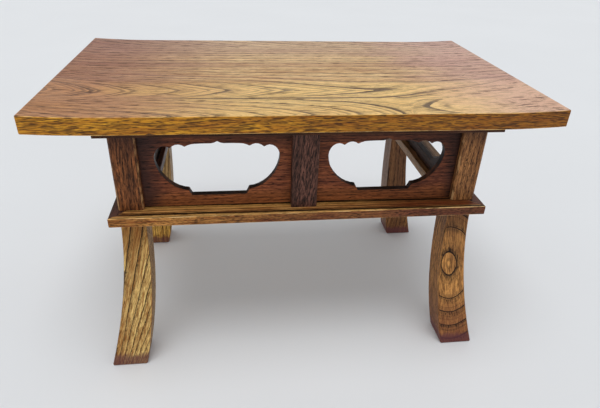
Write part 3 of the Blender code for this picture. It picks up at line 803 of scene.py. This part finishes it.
def shading_group(name, angle):
    """Joins the mesh's triangles and keeps those edges sharp that turn by more than the angle."""
    group = bpy.data.node_groups.new(name, "GeometryNodeTree")
    group.interface.new_socket("Geometry", in_out="INPUT", socket_type="NodeSocketGeometry")
    group.interface.new_socket("Geometry", in_out="OUTPUT", socket_type="NodeSocketGeometry")
    nodes, links = group.nodes, group.links
    source, sink = nodes.new("NodeGroupInput"), nodes.new("NodeGroupOutput")
    weld = nodes.new("GeometryNodeMergeByDistance")
    weld.inputs["Distance"].default_value = WELD_DISTANCE
    edge = nodes.new("GeometryNodeInputMeshEdgeAngle")
    sharp = nodes.new("ShaderNodeMath")
    sharp.operation = "GREATER_THAN"
    sharp.inputs[1].default_value = angle
    normal = nodes.new("GeometryNodeSetMeshNormal")
    links.new(source.outputs[0], weld.inputs["Geometry"])
    links.new(weld.outputs[0], normal.inputs["Mesh"])
    links.new(edge.outputs["Unsigned Angle"], sharp.inputs[0])
    links.new(sharp.outputs[0], normal.inputs["Edge Sharpness"])
    links.new(normal.outputs[0], sink.inputs[0])
    return group


round_arrises = shading_group("round_arrises", ROUND_ANGLE)
crisp_arrises = shading_group("crisp_arrises", CRISP_ANGLE)


def finish_of(node):
    if node in WOODS:
        return Wood(f"{node}_wood", WOODS[node]).material
    if "dowel" in node:
        return dowel
    if "key" in node:
        return key
    return screw


def dress(node):
    part = NODES[node]
    finish = finish_of(node)
    for slot in part.material_slots:
        slot.material = finish
    rounding = part.modifiers.new("shading", "NODES")
    rounding.node_group = crisp_arrises if node.startswith(CRISP_PARTS) else round_arrises
    weighted = part.modifiers.new("flat_faces", "WEIGHTED_NORMAL")
    weighted.keep_sharp = True


for node in NODES:
    dress(node)

# Floor
FLOOR_HALF = 6.0
FLOOR_CELLS_PER_METRE = (3.0, 3.0, 3.0)
FLOOR_DARK, FLOOR_LIGHT = (226, 228, 231), (231, 233, 236)
FLOOR_ROUGHNESS = 0.8


def floor_material():
    shader = Shader("floor_paper")
    inputs = shader.surface.inputs
    tint = shader.noise(shader.stretch(shader.place(), FLOOR_CELLS_PER_METRE))
    shader.put(inputs["Base Color"], shader.mix(tint, srgb(*FLOOR_DARK), srgb(*FLOOR_LIGHT)))
    inputs["Roughness"].default_value = FLOOR_ROUGHNESS
    return shader.material


floor_mesh = bpy.data.meshes.new("floor")
corners = [(-FLOOR_HALF, -FLOOR_HALF, 0), (FLOOR_HALF, -FLOOR_HALF, 0),
           (FLOOR_HALF, FLOOR_HALF, 0), (-FLOOR_HALF, FLOOR_HALF, 0)]
floor_mesh.from_pydata(corners, [], [(0, 1, 2, 3)])
floor_mesh.materials.append(floor_material())
floor = bpy.data.objects.new("floor", floor_mesh)
scene.collection.objects.link(floor)

# Light
SUN_LEVEL, SUN_ANGLE = 1.5, math.radians(40)
SUN_DIRECTION = (0.06, 0.2, -1.0)
HORIZON_LEVEL, ZENITH_LEVEL, BACKDROP_LEVEL = 1.3, 0.1, 0.75
SKY_COLOUR = (0.97, 0.99, 1.0, 1.0)


def overhead_sun():
    """A wide soft lamp overhead, a little in front of the table."""
    sun = bpy.data.lights.new("overhead", "SUN")
    sun.energy, sun.angle = SUN_LEVEL, SUN_ANGLE
    overhead = bpy.data.objects.new("overhead", sun)
    overhead.rotation_euler = Vector(SUN_DIRECTION).to_track_quat("-Z", "Y").to_euler()
    return overhead


def studio_world():
    """Light that is strongest from the horizon. Rays seen, mirrored or let through meet an even backdrop."""
    world = bpy.data.worlds.new("studio")
    world.use_nodes = True
    sky = Nodes(world.node_tree)
    rays = sky.nodes.new("ShaderNodeLightPath").outputs
    seen = sky.most(rays["Is Camera Ray"], rays["Is Glossy Ray"])
    seen = sky.most(seen, rays["Is Transmission Ray"])
    way = sky.split(sky.nodes.new("ShaderNodeTexCoord").outputs["Generated"])
    glow = sky.remap(way["Z"], UNIT, (HORIZON_LEVEL, ZENITH_LEVEL), smooth=False)
    level = sky.remap(seen, UNIT, (glow, BACKDROP_LEVEL), smooth=False)
    background = sky.nodes["Background"].inputs
    background["Color"].default_value = SKY_COLOUR
    sky.put(background["Strength"], level)
    return world


scene.collection.objects.link(overhead_sun())
scene.world = studio_world()

# Camera, found from the table's edges in the photograph
YAW, PITCH, ROLL = -0.1422, 0.5210, 0.0386
CAMERA_PLACE = (-0.05798, -0.48976, 0.38947)
LENS, SENSOR_WIDTH = 30.309, 36.0


def camera_axes():
    right = Vector((math.cos(YAW), math.sin(YAW), 0.0))
    ahead = Vector((-math.sin(YAW), math.cos(YAW), 0.0))
    up = Vector((0.0, 0.0, 1.0))
    look = ahead * math.cos(PITCH) - up * math.sin(PITCH)
    rise = up * math.cos(PITCH) + ahead * math.sin(PITCH)
    across = right * math.cos(ROLL) + rise * math.sin(ROLL)
    above = rise * math.cos(ROLL) - right * math.sin(ROLL)
    return Matrix((across, above, -look)).transposed().to_4x4()


view = bpy.data.cameras.new("photo_view")
view.sensor_width = SENSOR_WIDTH
view.lens = LENS
camera = bpy.data.objects.new("photo_view", view)
camera.matrix_world = Matrix.Translation(CAMERA_PLACE) @ camera_axes()
scene.collection.objects.link(camera)
scene.camera = camera

scene.view_settings.view_transform = "Standard"
